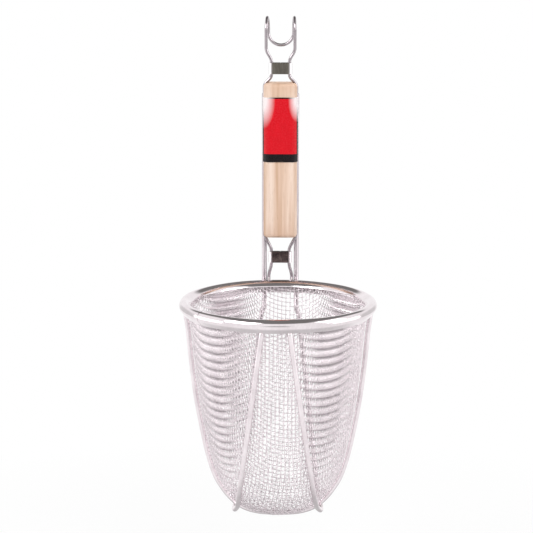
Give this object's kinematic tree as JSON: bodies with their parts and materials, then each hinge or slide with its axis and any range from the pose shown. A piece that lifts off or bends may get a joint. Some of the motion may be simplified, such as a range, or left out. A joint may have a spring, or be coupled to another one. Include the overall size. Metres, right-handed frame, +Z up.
{
  "type": "noodle strainer basket",
  "caption": "Deep round-bottomed strainer basket of woven steel cloth with a folded rim, wire ribs, an upright wooden grip and a wire hanging hook.",
  "frame": {"origin": "inside of the hook's fold, at its top, where the strainer hangs on a rail or pot edge", "axes": "+Z up along the handle, +Y to the back where the handle and hook are, +X to the viewer's right when the bowl is in front of the handle"},
  "size_m": [0.145, 0.1645, 0.3657],
  "materials": {
    "wire_cloth": "satin",
    "polished_steel": "polished",
    "steel_wire": "satin",
    "clip_steel": "polished",
    "pale_wood": "matte",
    "label_film": "gloss"
  },
  "bodies": {
    "root": {"mesh_bowl": "wire_cloth", "rim_band": "polished_steel", "rim_core_ring": "steel_wire", "frame_wire_left": "steel_wire", "frame_wire_right": "steel_wire", "cross_rib": "steel_wire", "hook_wire": "steel_wire", "lower_clip": "clip_steel", "upper_clip": "clip_steel", "handle_grip": "pale_wood", "handle_label": "label_film"}
  },
  "joints": []
}
